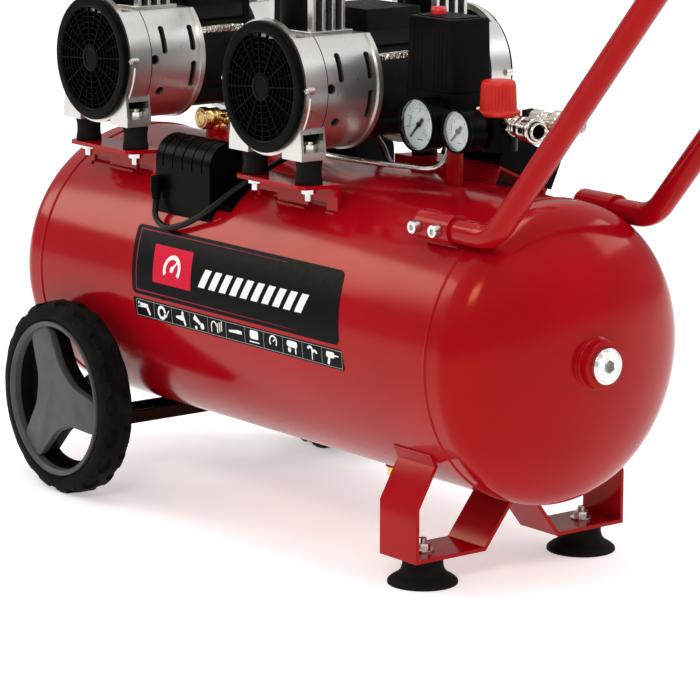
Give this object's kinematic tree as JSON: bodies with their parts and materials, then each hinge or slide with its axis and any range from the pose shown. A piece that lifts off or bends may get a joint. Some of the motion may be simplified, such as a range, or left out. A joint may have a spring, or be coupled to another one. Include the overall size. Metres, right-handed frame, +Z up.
{
  "type": "air compressor",
  "caption": "Wheeled oil-free air compressor: horizontal tank, motor pumps on rubber mounts, pressure switch, regulator, gauges, quick couplings, tubular push handle.",
  "frame": {"origin": "on the floor, under the middle of the whole box", "axes": "+X along the tank towards the push handle and feet, -Y towards the labelled side with the gauges, +Z up"},
  "size_m": [1.0584, 0.384, 0.654],
  "materials": {
    "red_enamel": "glossy stove enamel",
    "dark_red_enamel": "satin enamel",
    "cast_aluminium": "satin die-cast",
    "machined_aluminium": "drawn, satin",
    "zinc_steel": "bright zinc plate",
    "motor_steel": "black varnished laminations",
    "black_plastic": "fine moulded grain",
    "switch_plastic": "semi-gloss moulded",
    "mount_rubber": "matt rubber",
    "tyre_rubber": "matt rubber",
    "hub_plastic": "satin moulded",
    "knob_plastic": "semi-gloss moulded",
    "button_plastic": "gloss",
    "nickel_steel": "nickel plate, turned",
    "brass": "turned brass",
    "hose_black": "braided cover",
    "lead_black": "satin PVC sheath",
    "dial_print": "printed white face",
    "lens_clear": "clear polycarbonate",
    "needle_paint": "matt black",
    "label_print": "satin printed foil"
  },
  "bodies": {
    "compressor": {"tank_shell": "red_enamel", "tank_head_left": "red_enamel", "tank_head_right": "red_enamel", "end_plugs": "zinc_steel", "drain_valve": "brass", "foot_straps": "red_enamel", "rubber_feet": "mount_rubber", "foot_bolts": "zinc_steel", "wheel_bracket": "dark_red_enamel", "axle_bolts": "zinc_steel", "handle_tube": "red_enamel", "handle_grip": "mount_rubber", "handle_sleeves": "red_enamel", "handle_screws": "zinc_steel", "pump_brackets": "red_enamel", "rubber_mounts": "mount_rubber", "mount_bolts": "zinc_steel", "crankcases": "cast_aluminium", "stators": "motor_steel", "bearings": "zinc_steel", "fan_guards": "black_plastic", "finned_cylinders": "cast_aluminium", "cylinder_heads": "cast_aluminium", "intake_silencers": "black_plastic", "head_link_tubes": "machined_aluminium", "discharge_hoses": "hose_black", "check_valve": "brass", "unloader_pipe": "machined_aluminium", "capacitor_boxes": "black_plastic", "capacitor_leads": "lead_black", "junction_box": "black_plastic", "junction_bracket": "red_enamel", "switch_base": "switch_plastic", "switch_cover": "switch_plastic", "manifold": "black_plastic", "manifold_post": "red_enamel", "gauge_cases": "black_plastic", "gauge_dials": "dial_print", "gauge_lenses": "lens_clear", "coupling_bodies": "nickel_steel", "safety_valve": "brass", "label": "label_print"},
    "front_wheel": {"wheel_hub_front": "hub_plastic", "tyre_front": "tyre_rubber"},
    "rear_wheel": {"wheel_hub_rear": "hub_plastic", "tyre_rear": "tyre_rubber"},
    "pump_a_shaft": {"pump_a_rotor": "motor_steel", "pump_a_fans": "black_plastic"},
    "pump_b_shaft": {"pump_b_rotor": "motor_steel", "pump_b_fans": "black_plastic"},
    "pump_a_rods": {"pump_a_pistons": "machined_aluminium"},
    "pump_b_rods": {"pump_b_pistons": "machined_aluminium"},
    "regulator": {"regulator_knob": "knob_plastic"},
    "pull_button": {"switch_button": "button_plastic"},
    "tank_needle": {"needle_tank": "needle_paint"},
    "outlet_needle": {"needle_outlet": "needle_paint"},
    "front_sleeve": {"coupling_sleeve_front": "nickel_steel"},
    "rear_sleeve": {"coupling_sleeve_rear": "nickel_steel"},
    "safety_pull": {"safety_ring": "zinc_steel"},
    "drain_cock": {"drain_screw": "brass"}
  },
  "joints": [
    {"name": "front_wheel_spin", "type": "hinge", "parent": "compressor", "child": "front_wheel", "pos_m": [-0.34818, -0.172, 0.103], "axis": [0, 1, 0], "continuous": true},
    {"name": "rear_wheel_spin", "type": "hinge", "parent": "compressor", "child": "rear_wheel", "pos_m": [-0.34818, 0.172, 0.103], "axis": [0, 1, 0], "continuous": true},
    {"name": "pump_a_spin", "type": "hinge", "parent": "compressor", "child": "pump_a_shaft", "pos_m": [-0.35118, 0, 0.461], "axis": [0, 1, 0], "continuous": true},
    {"name": "pump_a_rod_turn", "type": "hinge", "parent": "pump_a_shaft", "child": "pump_a_rods", "pos_m": [-0.35118, 0, 0.465], "axis": [0, 1, 0], "continuous": true},
    {"name": "pump_b_spin", "type": "hinge", "parent": "compressor", "child": "pump_b_shaft", "pos_m": [-0.05118, 0, 0.461], "axis": [0, 1, 0], "continuous": true},
    {"name": "pump_b_rod_turn", "type": "hinge", "parent": "pump_b_shaft", "child": "pump_b_rods", "pos_m": [-0.05118, 0, 0.465], "axis": [0, 1, 0], "continuous": true},
    {"name": "regulator_turn", "type": "hinge", "parent": "compressor", "child": "regulator", "pos_m": [0.14982, 0, 0.46], "axis": [0, 0, 1], "range_deg": [-360, 360]},
    {"name": "button_pull", "type": "slide", "parent": "compressor", "child": "pull_button", "axis": [0, 0, 1], "range_m": [0, 0.008]},
    {"name": "tank_needle_turn", "type": "hinge", "parent": "compressor", "child": "tank_needle", "pos_m": [0.08782, -0.0476, 0.432], "axis": [0, 1, 0], "range_deg": [0, 270], "stiffness_Nm_per_rad": 0.001},
    {"name": "outlet_needle_turn", "type": "hinge", "parent": "compressor", "child": "outlet_needle", "pos_m": [0.14732, -0.0476, 0.432], "axis": [0, 1, 0], "range_deg": [0, 270], "stiffness_Nm_per_rad": 0.001},
    {"name": "front_sleeve_slide", "type": "slide", "parent": "compressor", "child": "front_sleeve", "axis": [-0.9848, 0.1736, 0], "range_m": [0, 0.006], "stiffness_N_per_m": 800},
    {"name": "rear_sleeve_slide", "type": "slide", "parent": "compressor", "child": "rear_sleeve", "axis": [-0.9511, -0.309, 0], "range_m": [0, 0.006], "stiffness_N_per_m": 800},
    {"name": "safety_ring_pull", "type": "slide", "parent": "compressor", "child": "safety_pull", "axis": [0, 1, 0], "range_m": [0, 0.004], "stiffness_N_per_m": 1500},
    {"name": "drain_turn", "type": "hinge", "parent": "compressor", "child": "drain_cock", "pos_m": [-0.00218, 0, 0.052], "axis": [0, 0, 1], "range_deg": [0, 720]}
  ],
  "couplings": [
    {"joint": "pump_a_rod_turn", "follows": "pump_a_spin", "ratio": -1},
    {"joint": "pump_b_rod_turn", "follows": "pump_b_spin", "ratio": -1}
  ]
}
